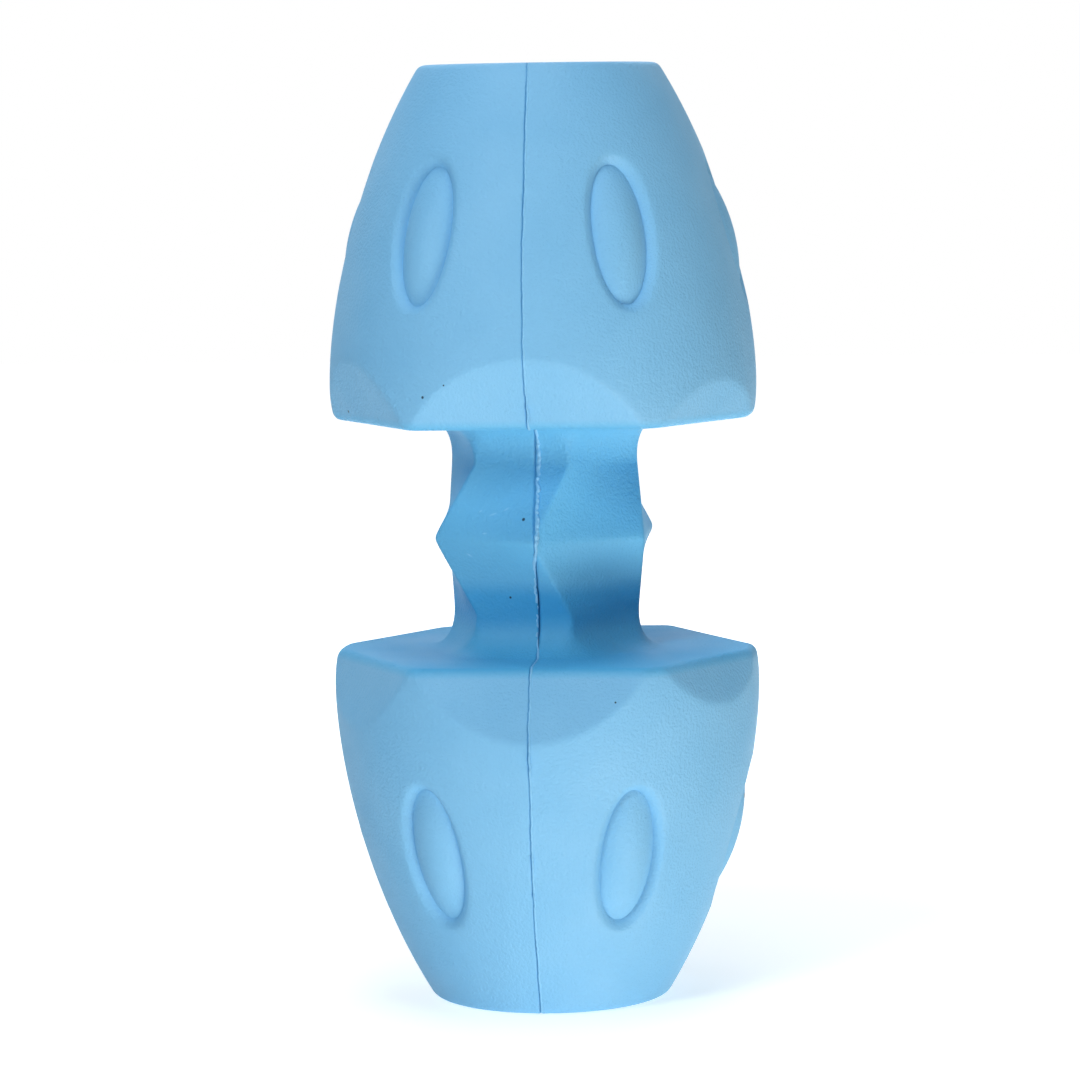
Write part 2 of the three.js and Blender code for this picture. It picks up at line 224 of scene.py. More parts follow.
class FinishColours(PropertyGroup):
    """Colours of the rubber and of the floor"""
    shell: colour("Shell rubber", "Sky blue rubber of the half shells", "83C1E6")
    shell_deep: colour("Shell rubber, deep", "Slightly deeper tone that mottles it", "78B9E1")
    # painted shade: a deeper blue painted over the neck's waist, where shade falls
    painted_waist_shade: colour("Shell rubber, waist", "Deeper tone of the neck, which is handled less", "4CB2E0")
    # painted shade: the deepest blue, painted where the neck's faces lean downwards under the ridge
    under: colour("Shell rubber, under the ridge", "Deepest tone, on the neck's faces that lean downwards", "1A96D2")
    # painted shade: a dark line painted in the creases round the pads and along the seam
    painted_crease_shade: colour("Crease", "Dark line round the pads and along the seam", "3C8CC4")
    flash: colour("Torn flash", "Paler rubber where the flash was torn", "96D2F4")
    gate: colour("Gate rubber", "Softer rubber of the rings and petals", "62AEDC")
    speck: colour("Speck", "Dark grit moulded into the skin", "12384F")
    floor: colour("Floor", "Pale floor and backdrop", "F2F2F0")


class StageSettings(PropertyGroup):
    """Camera and light"""
    distance: length("Camera distance", "From the toy's axis", 760)
    height: length("Camera height", "Over the floor", 158)
    azimuth: angle("Camera azimuth", "Round the toy from the front seam", 5.4)
    tilt: angle("Camera tilt", "Downward tilt", 5.7)
    pan: angle("Camera pan", "Turn to the left", 0.072)
    roll: angle("Camera roll", "Turn about the line of sight", 0.86)
    lens: amount("Lens", "Focal length in millimetres on a 36 mm sensor", 141.7)
    world: amount("World", "Strength of the light from all round", 0.05)
    backdrop: amount("Backdrop", "Share of plain white that the camera sees on the floor", 0.55)


class ToySettings(PropertyGroup):
    """All settings of the toy"""
    lobe: PointerProperty(type=LobeSizes)
    pads: PointerProperty(type=PadSizes)
    neck: PointerProperty(type=NeckSizes)
    hollow: PointerProperty(type=HollowSizes)
    gate: PointerProperty(type=GateSizes)
    seam: PointerProperty(type=SeamSizes)
    finish: PointerProperty(type=FinishColours)
    stage: PointerProperty(type=StageSettings)


def measured(group):
    """A settings group as plain numbers, with lengths in millimetres and angles in radians."""
    values = SimpleNamespace()
    for key, kind in group.bl_rna.properties.items():
        if kind.type == "FLOAT":
            value = getattr(group, key)
            setattr(values, key, value / MM if kind.unit == "LENGTH" else value)
    return values


def toy_sizes(context):
    """Every group of sizes that shapes the toy, as plain numbers."""
    toy = context.scene.dog_toy
    names = ("lobe", "pads", "neck", "hollow", "gate", "seam")
    return SimpleNamespace(**{name: measured(getattr(toy, name)) for name in names})


def soft_least(a, b, blend):
    """The lesser of two values, with the corner where they cross rounded over a blend."""
    near = np.clip(1 - np.abs(a - b) / blend, 0, None)
    return np.minimum(a, b) - blend * near**2 / 4


def bezier(points, t):
    """Quadratic curve through a corner: start, corner and end weighted by (1-t)^2, 2t(1-t) and t^2."""
    start, corner, end = points
    return (1 - t)**2 * start + 2 * t * (1 - t) * corner + t**2 * end


def lobe_outline(lobe):
    """Lobe outline as columns of arc length, radius, height and outward normal. It is a cubic Bezier curve of
    radius against height, from the rim, where it flares, to the end face, where it tapers."""
    points = 3001
    t = np.linspace(0, 1, points)[:, None]
    rim = np.array([lobe.rim_radius, 0])
    end = np.array([lobe.end_radius, lobe.height])
    flare = rim + lobe.rim_handle * np.array([math.sin(lobe.rim_flare), math.cos(lobe.rim_flare)])
    taper = end + lobe.end_handle * np.array([math.sin(lobe.end_taper), -math.cos(lobe.end_taper)])
    line = (1 - t)**3 * rim + 3 * (1 - t)**2 * t * flare + 3 * (1 - t) * t**2 * taper + t**3 * end
    arc = np.r_[0, np.cumsum(np.hypot(*np.diff(line, axis=0).T))]
    along = np.gradient(line, arc, axis=0)
    return np.column_stack([arc, line, along[:, 1], -along[:, 0]])


def on_outline(outline, arc):
    """Radius, height and normal of the outline at given arc lengths."""
    return [np.interp(arc, outline[:, 0], column) for column in outline.T[1:]]


def faceted(radius, height, azimuth, lobe):
    """Round radius cut by six leaning planes. A plane's distance is its apothem plus height times the tangent of
    its lean, over the cosine of the azimuth from its middle. Each plane has a twin half a turn on."""
    facets = ((lobe.front_apothem, lobe.front_lean), (lobe.narrow_apothem, lobe.narrow_lean),
              (lobe.tall_apothem, lobe.tall_lean))
    reach, least_facing = radius + 0 * azimuth, 0.3
    for k, (apothem, lean) in enumerate(facets):
        facing = np.maximum(np.abs(np.cos(azimuth - k * SIXTH)), least_facing)
        reach = soft_least(reach, (apothem + height * math.tan(lean)) / facing, lobe.facet_blend)
    return reach


def past_pad(arc, azimuth, radius, pads):
    """Place against the nearest pad: share of the way from its middle to its oval edge, and distance past that edge,
    which is what the share has past one over the share's steepness."""
    along = 2 * (arc - pads.centre) / pads.length
    across = 2 * radius * (azimuth % SIXTH - SIXTH / 2) / pads.width
    share = np.maximum(np.hypot(along, across), 1e-6)
    steep = np.hypot(2 * along / pads.length, 2 * across / pads.width) / share
    return share, (share - 1) / np.maximum(steep, 1e-6)


def round_the_pads(arc, azimuth, outline, pads):
    """Arc lengths and azimuths of the lobe wall's points, with the straight grid round each pad drawn onto ovals, so
    that one of its lines follows the pad's edge. A point on the rectangle of a size goes to the oval of that size, in
    the same direction from the pad's middle. Size one is the pad's edge, and larger ovals keep their distance from it.
    From the moat outwards the points return to the straight grid."""
    radius = on_outline(outline, pads.centre)[0]
    column = azimuth[np.abs(arc[:, 0] - pads.centre).argmin()]
    middle = (np.floor(column / SIXTH) + 0.5) * SIXTH
    long, wide = pads.length / 2, pads.width / 2
    across = (column - middle) * radius
    u = (arc - pads.centre) / long + 0 * across
    off = np.abs(across)
    v = np.sign(across) * (np.minimum(off, wide) / wide + np.maximum(off - wide, 0) / long) + 0 * arc
    size = np.maximum(np.abs(u), np.abs(v))
    reach = np.maximum(np.hypot(u, v), 1e-9)
    loose = np.clip((size - PAD_HOLD) / (PAD_BLOCK - PAD_HOLD), 0, 1)
    arc = pads.centre + long * u * (size / reach * (1 - loose) + loose)
    across = (wide * np.minimum(size, 1) + long * np.maximum(size - 1, 0)) * v / reach
    oval = middle + across / on_outline(outline, arc)[0]
    return arc, oval + (azimuth - oval) * loose


def swung(arc, azimuth, pads):
    """Azimuths with the half's last pad swung towards the one before it. The swing is whole over the pad and its moat,
    and smooth steps take it to nought at the middles of the facets on both sides and towards the lobe's ends."""
    last_pad, end, fade = 2.5 * SIXTH, 1.9, 0.7
    off = np.abs(azimuth - last_pad) / (SIXTH / 2)
    along = np.abs(arc - pads.centre) / (pads.length / 2)
    fades = np.clip(2 - 2 * off, 0, 1), np.clip((end - along) / fade, 0, 1)
    return azimuth - pads.swing * math.prod(share**2 * (3 - 2 * share) for share in fades)


def pad_relief(share, past, pads):
    """Height over the lobe: on a pad, its rise less its crown times the share squared. Past its edge, the moat's depth
    times a power of what is left of the moat's width."""
    power = 1.6
    moat = -pads.moat_depth * np.clip(1 - past / pads.moat_width, 0, 1)**power
    return np.where(past > 0, moat, pads.rise - pads.crown * share**2)


def hexagon(azimuth, corner_radius, turn, blend):
    """Radius of a six-sided section with soft corners: the apothem over the cosine of the azimuth from the
    nearest side's middle, blended with the same for the next side."""
    apothem = corner_radius * math.cos(SIXTH / 2)
    off = np.abs((azimuth - turn) % SIXTH - SIXTH / 2)
    return soft_least(apothem / np.cos(off), apothem / np.cos(SIXTH - off), blend)


def neck_band(azimuth, lift, neck):
    """Neck radius at a lift from mid-height. Each corner runs straight from the middle hexagon to the turned end
    hexagon, with the ridge rounded, and turns upright where the fillet starts."""
    top = neck.length / 2 - neck.fillet
    eased = np.sqrt(lift**2 + neck.ridge_round**2) - neck.ridge_round
    share = eased / (math.hypot(top, neck.ridge_round) - neck.ridge_round)
    share = soft_least((1 + neck.band_blend) * share, 1 + 0 * lift, neck.band_blend)
    x = neck.mid_radius * (1 - share) + neck.end_radius * share * math.cos(neck.turn)
    y = neck.end_radius * share * math.sin(neck.turn)
    return hexagon(azimuth, np.hypot(x, y), np.arctan2(y, x), neck.corner_blend)


def wall_arcs(outline, sizes):
    """Arc lengths of the lobe wall's rows, closest together over the facets and the pads. Rows run through the pads'
    middles and over their tips."""
    lobe, pads = sizes.lobe, sizes.pads
    tip = pads.length / 2
    moat, block = tip + pads.moat_width, PAD_BLOCK * tip
    offsets = np.array([block, moat, tip, 0, -tip, -moat, -block])
    stops = np.r_[outline[-1, 0] - lobe.end_round, pads.centre + offsets, lobe.rim_round]
    runs = [np.linspace(a, b, max(2, round((a - b) / step)), endpoint=False)
            for a, b, step in zip(stops, stops[1:], WALL_SPACING)]
    return np.r_[np.concatenate(runs), lobe.rim_round][:, None]


def outer_skin(azimuth, sizes, outline, arcs, rows):
    """Outer skin of the upper half of the toy, as radius, lift over mid-height, azimuth and share of painted
    crease shade. Rows run from the mouth's edge to mid-height: end face, its rounded edge, lobe wall, rounded rim,
    shoulder, fillet and neck. The painted crease shade's share is a bell curve of the distance past a pad's edge."""
    lobe, pads, neck, hollow = sizes.lobe, sizes.pads, sizes.neck, sizes.hollow
    base = neck.length / 2
    face, end, wall, rim, shoulder, fillet, band = np.split(azimuth, np.cumsum(rows)[:-1])

    def steps(count, first=0):
        return np.linspace(0, 1, count + first)[first:, None]

    end_edge = lobe.end_radius - lobe.end_round
    face_radius = hollow.mouth_radius + hollow.mouth_edge
    face_radius = face_radius + (end_edge - face_radius) * steps(FACE_ROWS) + 0 * face

    edge_arc = outline[-1, 0] - lobe.end_round
    edge_radius, edge_height = on_outline(outline, edge_arc)[:2]
    t = steps(END_ROWS + 1, 1)[:-1]
    end_radius = bezier((end_edge, lobe.end_radius, edge_radius), t) + 0 * end
    end_height = bezier((lobe.height, lobe.height, edge_height), t) + 0 * end

    arc, wall = round_the_pads(arcs, wall, outline, pads)
    radius, height, out_radius, out_height = on_outline(outline, arc)
    share, past = past_pad(arc, wall, radius, pads)
    relief = pad_relief(share, past, pads)
    wall = swung(arc, wall, pads)
    wall_radius = faceted(radius, height, wall, lobe) + relief * out_radius
    wall_height = height + relief * out_height

    foot_radius, foot_height = on_outline(outline, lobe.rim_round)[:2]
    t = steps(RIM_ROWS, 1)
    corner = faceted(lobe.rim_radius, 0.0, rim, lobe)
    foot = faceted(foot_radius, foot_height, rim, lobe)
    rim_radius = bezier((foot, corner, corner - lobe.rim_round), t)
    rim_height = bezier((foot_height, 0.0, 0.0), t) + 0 * rim

    corner = faceted(lobe.rim_radius, 0.0, shoulder, lobe) - lobe.rim_round
    inner = hexagon(shoulder, neck.end_radius + neck.fillet, neck.turn, neck.shoulder_blend)
    shoulder_radius = corner + (inner - corner) * steps(SHOULDER_ROWS, 1)

    swing = (1 - steps(FILLET_ROWS, 1)) * math.pi / 2
    fillet_corner = neck.end_radius + neck.fillet * (1 - np.cos(swing))
    softness = neck.corner_blend + (neck.shoulder_blend - neck.corner_blend) * np.sin(swing)**2
    fillet_radius = hexagon(fillet, fillet_corner, neck.turn, softness)
    fillet_lift = base - neck.fillet * (1 - np.sin(swing)) + 0 * fillet

    lift = (base - neck.fillet) * (1 - steps(NECK_ROWS, 1)) + 0 * band
    band_radius = neck_band(band, lift, neck)

    radii = np.vstack([face_radius, end_radius, wall_radius, rim_radius, shoulder_radius, fillet_radius, band_radius])
    lifts = np.vstack([base + lobe.height + 0 * face, base + end_height, base + wall_height, base + rim_height,
                       base + 0 * shoulder, fillet_lift, lift])
    painted_crease_shade, darkest = 0 * azimuth, 0.12
    painted_crease_shade[FACE_ROWS + END_ROWS:][:len(arcs)] = darkest * np.exp(-(past / PAD_CREASE)**2)
    return radii, lifts, np.vstack([face, end, wall, rim, shoulder, fillet, band]), painted_crease_shade


def hollow_line(sizes, outline):
    """Radius and lift of the hollow's outline from mid-height to the mouth's edge: bore, floor, quarter round, wall
    at a constant thickness, sloped throat, lip, groove, mouth and its rounded edge."""
    lobe, hollow, gate = sizes.lobe, sizes.hollow, sizes.gate
    wall_points, round_points, edge_points, chamfer = 10, 8, 5, 0.6
    groove_top = lobe.height - hollow.mouth_depth
    groove_bottom = groove_top - gate.thickness - 2 * gate.clearance
    throat = groove_bottom - gate.lip
    start, stop = hollow.floor + hollow.floor_round, throat - hollow.throat_slope
    heights = np.linspace(start, stop, wall_points)
    wall = np.interp(heights, outline[:, 2], outline[:, 1]) - hollow.wall
    swing = np.linspace(0, math.pi / 2, round_points)[:-1]
    bore, mouth, groove = hollow.bore_radius, hollow.mouth_radius, gate.radius + gate.clearance
    edge = np.linspace(0, math.pi / 2, edge_points)[:-1]
    base = sizes.neck.length / 2
    radius = np.r_[bore, bore, bore + chamfer, wall[0] - hollow.floor_round * (1 - np.sin(swing)), wall,
                   mouth, mouth, groove, groove, mouth, mouth + hollow.mouth_edge * (1 - np.cos(edge))]
    lift = base + np.r_[0, hollow.floor - chamfer, hollow.floor,
                        hollow.floor + hollow.floor_round * (1 - np.cos(swing)), heights,
                        throat, groove_bottom, groove_bottom, groove_top, groove_top,
                        lobe.height - hollow.mouth_edge * (1 - np.sin(edge))]
    return radius, lift


def ragged(along, pitch, seed):
    """Random values from 0 to 1 at a pitch along a line from its start, joined by straight runs."""
    knots = np.arange(0, along.max() + 2 * pitch, pitch)
    return np.interp(along, knots, np.random.default_rng(seed).random(len(knots)))


def skin_turns(sizes, outline):
    """Share of the way round from one seam edge to the other, for each column between them. The columns are closest
    together across the pads, and run through the pads' middles and along their sides."""
    pads = sizes.pads
    radius = on_outline(outline, pads.centre)[0]
    side = pads.width / 2
    stops = (0, side, side + pads.moat_width, side + (PAD_BLOCK - 1) * pads.length / 2, radius * SIXTH / 2)
    runs = [np.linspace(a, b, count, endpoint=False) for a, b, count in zip(stops, stops[1:], PAD_COLUMNS)]
    off = np.concatenate(runs) / radius
    off = np.r_[-off[:0:-1], off, SIXTH / 2]
    azimuth = ((np.arange(3)[:, None] + 0.5) * SIXTH + off).ravel()
    near = math.asin((sizes.seam.gap / 2 + EDGE_STEPS[-1]) / radius)
    clear = near + EDGE_CLEAR / radius
    azimuth = azimuth[(azimuth > clear) & (azimuth < math.pi - clear)]
    return (azimuth - near) / (math.pi - 2 * near)


def edge_columns(radius, inset, turns):
    """Azimuths of a half shell's columns, for rows of given radius: set distances from the bond plane at both edges,
    and set shares of the way between them."""
    near = np.arcsin((inset + EDGE_STEPS) / radius)
    middle = near[:, -1:] + (math.pi - 2 * near[:, -1:]) * turns
    return np.hstack([near, middle, math.pi - near[:, ::-1]])


def whole_skin(sizes, columns):
    """Outer skin of the whole toy, in the same four parts as its upper half, which the lower half mirrors. A given
    function turns the seam's radius into the azimuths of the columns."""
    outline = lobe_outline(sizes.lobe)
    arcs = wall_arcs(outline, sizes)
    rows = (FACE_ROWS, END_ROWS, len(arcs), RIM_ROWS, SHOULDER_ROWS, FILLET_ROWS, NECK_ROWS)
    seam_radius = outer_skin(np.zeros((sum(rows), 1)), sizes, outline, arcs, rows)[0]
    upper = outer_skin(columns(seam_radius), sizes, outline, arcs, rows)
    return [np.vstack([part, sign * part[-2::-1]]) for part, sign in zip(upper, (1, -1, 1, 1))]


def run_along(radius, lift):
    """Distance along a line of radius against lift, from its start."""
    return np.r_[0, np.cumsum(np.hypot(np.diff(radius), np.diff(lift)))]


def share_on_neck(lift, neck):
    """One on the neck and nought on the lobes, with a smooth step at the shoulders."""
    inset, fade = 2, 0.8
    return 1 / (1 + np.exp((np.abs(lift) - neck.length / 2 + inset) / fade))


def seam_waver(along, seam_side, seam):
    """How far the seam strays from the bond plane: a slow random line and two quicker, lesser ones."""
    seed = WAVER_SEED + BACK_SEED * seam_side
    lines = ((14, 1), (3.3, 0.4), (1.5 * seam.tear, 0.5))
    return seam.waver * sum(share * (ragged(along, pitch, seed + k) - 0.5) for k, (pitch, share) in enumerate(lines))


def moulded_edge(radius, lift, half, seam_side, sizes):
    """Rise over the skin and shift across the bond plane, for every row and for the columns next to one edge. The edge
    is a rounded drop into the seam, with a swelling beside it. On the neck the right half stands over the left above
    mid-height, and the left over the right below, where the lower edge drops more and wider. Both halves follow the
    seam's waver."""
    seam = sizes.seam
    side = 1 - 2 * half
    change, lip_place, least_drop, drop_pitch, deeper, wider = 2, 0.25, 0.45, 5, 2.5, 0.2
    on_neck = share_on_neck(lift, sizes.neck)
    over = 1 / (1 + np.exp(-side * (lift + CHANGE_BELOW) / change))
    height = seam.lobe_lip * (1 - on_neck) + seam.neck_lip * over * on_neck
    swelling = np.exp(-((EDGE_STEPS - lip_place) / seam.lip_width)**2)
    swelling[-1] = 0
    under = ((1 - over) * on_neck)[:, None]
    along = run_along(radius, lift)
    drop = seam.edge_drop * (least_drop + ragged(along, drop_pitch, EDGE_SEED + seam_side))[:, None]
    drop = drop * (1 + deeper * under) * np.exp(-(EDGE_STEPS / (SEAM_CREASE + wider * under))**2)
    rise = height[:, None] * swelling - drop
    fade = (1 - EDGE_STEPS / EDGE_STEPS[-1])**2
    return rise, side * seam_waver(along, seam_side, seam)[:, None] * fade


def half_shell(half, sizes):
    """Closed skin of one half shell as a grid of points and its share of painted crease shade. Rows run down the outer
    skin and back up the hollow. Columns run half a turn round, and the moulded edge moves those beside the seams along
    the skin's normal and across the bond plane. The left half is the right one turned half a turn."""
    outline = lobe_outline(sizes.lobe)
    turns = skin_turns(sizes, outline)
    inset = sizes.seam.gap / 2
    radius, lift, azimuth, painted_crease_shade = whole_skin(sizes, lambda seam_radius: edge_columns(seam_radius, inset, turns))

    # the skin's normal in the plane through the axis
    run_lift, run_radius = np.gradient(lift, axis=0), np.gradient(radius, axis=0)
    run = np.maximum(np.hypot(run_lift, run_radius), 1e-9)
    rise, shift = np.zeros_like(radius), np.zeros_like(radius)
    edge, darkest = len(EDGE_STEPS), 0.7
    for k, columns in enumerate((slice(0, edge), slice(-1, -edge - 1, -1))):
        rise[:, columns], shift[:, columns] = moulded_edge(radius[:, columns.start], lift[:, columns.start], half,
                                                           (k + half) % 2, sizes)
        # painted shade along the seam's groove
        painted_crease_shade[:, columns] = np.maximum(painted_crease_shade[:, columns], darkest * np.exp(-(EDGE_STEPS / SEAM_CREASE)**2))
    radius = radius - rise * run_lift / run
    lift = np.clip(lift + rise * run_radius / run, -MIDDLE, MIDDLE)
    x, y = radius * np.sin(azimuth) + shift, -radius * np.cos(azimuth)

    hollow_radius, hollow_lift = hollow_line(sizes, outline)
    inner_radius = np.r_[hollow_radius[::-1], hollow_radius][::-1][:, None]
    inner_lift = np.r_[hollow_lift[::-1], -hollow_lift][::-1][:, None]
    inner_azimuth = edge_columns(inner_radius, inset, turns)
    x = np.vstack([x, inner_radius * np.sin(inner_azimuth)])
    y = np.vstack([y, -inner_radius * np.cos(inner_azimuth)])
    z = np.vstack([lift, inner_lift + 0 * inner_azimuth]) + MIDDLE
    turn = 1 - 2 * half
    return np.stack([turn * x, turn * y, z], axis=-1), np.vstack([painted_crease_shade, 0 * inner_azimuth])


def seam_flash(seam_side, sizes):
    """Torn flash along one seam as a closed grid. Rows run down the seam, and columns over a bead whose height is the
    root of one less the square of the share across. It stands beside the gap, on the right half's edge except on the
    neck's lower half, low on the lobes and high on the neck's upper half. Random lines along the seam break its height
    into teeth and vary its width, and a few lumps stand on the lobes."""
    seam = sizes.seam
    turn = 1 - 2 * seam_side
    skin_reach, skin_lines, free_rows, points_across, step_along = 1.7, 17, FACE_ROWS + 3, 11, 0.15
    offsets = np.linspace(-skin_reach, skin_reach, skin_lines)
    radius, lift, azimuth, _ = whole_skin(sizes, lambda seam_radius: np.arcsin(offsets / seam_radius))
    middle = skin_lines // 2
    coarse = run_along(radius[:, middle], lift[:, middle])
    along = np.arange(coarse[free_rows], coarse[-1 - free_rows], step_along)
    out, lift = (np.stack([np.interp(along, coarse, column) for column in part.T], axis=1)
                 for part in (radius * np.cos(azimuth), lift))

    # random lines: pitches as shares of the tear
    seed, pitches = FLASH_SEED + BACK_SEED * seam_side, (1, 9, 3, 1.3)
    tooth, swell, spread, stray = (ragged(along, pitch * seam.tear, seed + k) for k, pitch in enumerate(pitches))
    level, change = lift[:, middle], 1.5
    on_neck = share_on_neck(level, sizes.neck)
    above = (1 + np.tanh((level + CHANGE_BELOW) / change)) / 2
    below = on_neck * (1 - above)
    least, teeth, swells, share_below = 0.1, 0.7, 0.35, 0.3
    height = seam.neck_flash * on_neck * (share_below + (1 - share_below) * above)
    height = height * (least + teeth * tooth + swells * swell)
    least, teeth, lump, lump_power = 0.45, 0.6, 0.5, 4
    lumps = sum(np.exp(-((level - at) / half)**lump_power) for at, half in LUMPS)
    height = height + seam.lobe_flash * (1 - on_neck) * (least + teeth * swell * tooth + lumps * (lump + tooth))
    least, spreads, teeth, loss_below = 0.65, 0.5, 0.3, 0.45
    width = seam.lobe_flash_width + (seam.neck_flash_width - seam.lobe_flash_width) * on_neck
    width = width * (least + spreads * spread + teeth * tooth) * (1 - loss_below * below)
    across = np.linspace(-1, 1, points_across)
    from_gap, strays, sink = 0.1, 0.25, 0.06
    beside = (1 - 2 * below) * (from_gap + width) + strays * on_neck * (stray - 0.5)
    x = (turn * seam_waver(along, seam_side, seam) + beside)[:, None] + width[:, None] * across

    # the skin under each point, between its two neighbours across
    spot = (x + skin_reach) * (skin_lines - 1) / (2 * skin_reach)
    cell = spot.astype(int)
    past = spot - cell
    y, z = (np.take_along_axis(part, cell, 1) * (1 - past) + np.take_along_axis(part, cell + 1, 1) * past
            for part in (out, lift))
    run_out, run_lift = np.gradient(out[:, middle]), np.gradient(level)
    run = np.hypot(run_out, run_lift)
    rise = height[:, None] * np.sqrt(1 - across**2) - sink
    y = y - rise * (run_lift / run)[:, None]
    z = np.clip(z + rise * (run_out / run)[:, None], -MIDDLE, MIDDLE) + MIDDLE
    return np.stack([turn * x, -turn * y, z], axis=-1)


def superellipse(points, *powers):
    """Points of a rounded rectangle of half-size one: cosine and sine of the turn, each with its size to a power."""
    turn = np.linspace(0, 2 * math.pi, points, endpoint=False)
    return [np.sign(part) * np.abs(part)**power for part, power in zip((np.cos(turn), np.sin(turn)), powers)]


def gate_ring(level, gate):
    """Gate ring as a closed grid: a rounded rectangle carried round the axis. Its inner side follows the six-sided
    hole, its outer side the ring's radius, and its corners are a superellipse."""
    around, points, power, hole_blend = 192, 48, 0.28, 1.6
    azimuth = np.linspace(0, 2 * math.pi, around, endpoint=False)[None, :]
    across, tall = (part[:, None] for part in superellipse(points, power, power))
    inner = hexagon(azimuth, (gate.root_apothem + gate.root_gap) / math.cos(SIXTH / 2), SIXTH / 2, hole_blend)
    radius = (gate.radius + inner) / 2 + (gate.radius - inner) / 2 * across
    z = level + gate.thickness / 2 * tall + 0 * azimuth
    return np.stack([radius * np.sin(azimuth), -radius * np.cos(azimuth), z], axis=-1)


def gate_petal(level, azimuth, gate):
    """One petal as a grid from root to tip: a superellipse section whose half-width is a sixth of the hole less the
    slit, and whose half-thickness tapers and closes in a half round at the hinge line and at the tip."""
    root, tip = gate.petal_root / 2, gate.petal_tip / 2
    hinge = gate.root_apothem - root
    point = gate.tip_apothem + tip
    # the ends stop short of a point by an angle and a half-thickness, and draw in
    end_rows, flat_rows, points, stop, least, draw = 7, 22, 40, 0.03, 0.02, 0.25
    swing = np.linspace(stop, math.pi / 2, end_rows)
    reach = np.r_[hinge + root * np.cos(swing), np.linspace(hinge, point, flat_rows)[1:-1],
                  point - tip * np.sin(swing - stop)][:, None]
    taper = np.clip((reach - point) / (hinge - point), 0, 1)
    thick = tip + (root - tip) * taper
    beyond = np.maximum(reach - hinge, 0) + np.maximum(point - reach, 0)
    thick = np.sqrt(np.maximum(thick**2 - beyond**2, least**2))
    wide = np.minimum(reach, hinge) * math.tan(SIXTH / 2) - gate.slit / 2 / math.cos(SIXTH / 2)
    wide = wide - draw * (beyond / root)**2
    across, tall = superellipse(points, 0.22, 0.55)
    x, y, z = wide * across, -reach + 0 * across, level + thick * tall
    c, s = math.cos(azimuth), math.sin(azimuth)
    return np.stack([c * x - s * y, s * x + c * y, z], axis=-1)


def grid_object(name, points, wrap_rows, wrap_columns):
    """Object from a grid of points in millimetres: a four-sided face between each four neighbours, wrapped where
    asked, with a flat cap over each open side, all turned so that the enclosed volume is positive."""
    rows, columns = points.shape[:2]
    index = np.arange(rows * columns).reshape(rows, columns)
    caps = [] if wrap_columns else [index[:, 0], index[::-1, -1]]
    caps += [] if wrap_rows else [index[0, ::-1], index[-1]]
    index = np.vstack([index, index[:1]]) if wrap_rows else index
    index = np.hstack([index, index[:, :1]]) if wrap_columns else index
    faces = np.stack([index[:-1, :-1], index[:-1, 1:], index[1:, 1:], index[1:, :-1]], axis=-1).reshape(-1, 4)
    flat = points.reshape(-1, 3)
    a, b, c, d = (flat[faces[:, k]] - flat.mean(0) for k in range(4))
    volume = (np.cross(a, b) * c).sum() + (np.cross(a, c) * d).sum()
    if volume < 0:
        faces, caps = faces[:, ::-1], [cap[::-1] for cap in caps]
    mesh = bpy.data.meshes.new(name)
    mesh.from_pydata((flat * MM).tolist(), [], faces.tolist() + [cap.tolist() for cap in caps])
    mesh.polygons.foreach_set("use_smooth", np.arange(len(mesh.polygons)) < len(faces))
    mesh.set_sharp_from_angle(angle=math.radians(48))
    if mesh.validate(verbose=False):
        raise RuntimeError(f"{name} had faces that Blender had to repair")
    made = bpy.data.objects.new(name, mesh)
    bpy.context.scene.collection.objects.link(made)
    return made


def place(piece, node, body, material):
    """Gives a piece its finish, and lets it stand for a solid and move with a body."""
    piece.data.materials.append(material)
    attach(piece, body)
    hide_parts(node)


def add_node(tree, kind, inputs=None, **settings):
    """Adds a shader node with its settings, and gives its outputs. An input that is a socket is linked, and any other
    is a value."""
    made = tree.nodes.new("ShaderNode" + kind)
    for key, value in settings.items():
        setattr(made, key, value)
    for key, value in (inputs or {}).items():
        if isinstance(value, bpy.types.NodeSocket):
            tree.links.new(value, made.inputs[key])
        else:
            made.inputs[key].default_value = value
    return made.outputs


def new_tree(name):
    """A material, its empty node tree and the object's own coordinates in it."""
    material = bpy.data.materials.new(name)
    material.use_nodes = True
    tree = material.node_tree
    tree.nodes.clear()
    return material, tree, add_node(tree, "TexCoord")["Object"]


def worked_out(tree, operation, *values):
    """Result of a plain calculation with one or two values."""
    return add_node(tree, "Math", dict(enumerate(values)), operation=operation)[0]


def ranged(tree, value, source, target, **settings):
    """A value carried from one range to another and held at its ends."""
    inputs = {"Value": value, "From Min": source[0], "From Max": source[1], "To Min": target[0], "To Max": target[1]}
    return add_node(tree, "MapRange", inputs, **settings)["Result"]


def blended(tree, share, first, second):
    """First tone with a share of the second. The first may be a socket, and the second is one of the finish colours."""
    first = first if isinstance(first, bpy.types.NodeSocket) else (*first, 1)
    return add_node(tree, "Mix", {0: share, 6: first, 7: (*second, 1)}, data_type="RGBA")[2]


def mottled(tree, spot, size, detail):
    """Soft noise with grains of a size in mm."""
    inputs = {"Vector": spot, "Scale": 1 / (size * MM), "Detail": detail}
    return add_node(tree, "TexNoise", inputs)["Fac"]


def rubber_skin(tree, tone, roughness, height, strength, depth, specular):
    """Ends a tree in rubber with a tone and roughness, and with a height of a given depth in mm as its bump."""
    bump = add_node(tree, "Bump", {"Strength": strength, "Distance": depth * MM, "Height": height})
    shader = add_node(tree, "BsdfPrincipled", {
        "Base Color": tone, "Roughness": roughness, "IOR": 1.52, "Specular IOR Level": specular,
        "Normal": bump["Normal"]})
    add_node(tree, "OutputMaterial", {"Surface": shader["BSDF"]})


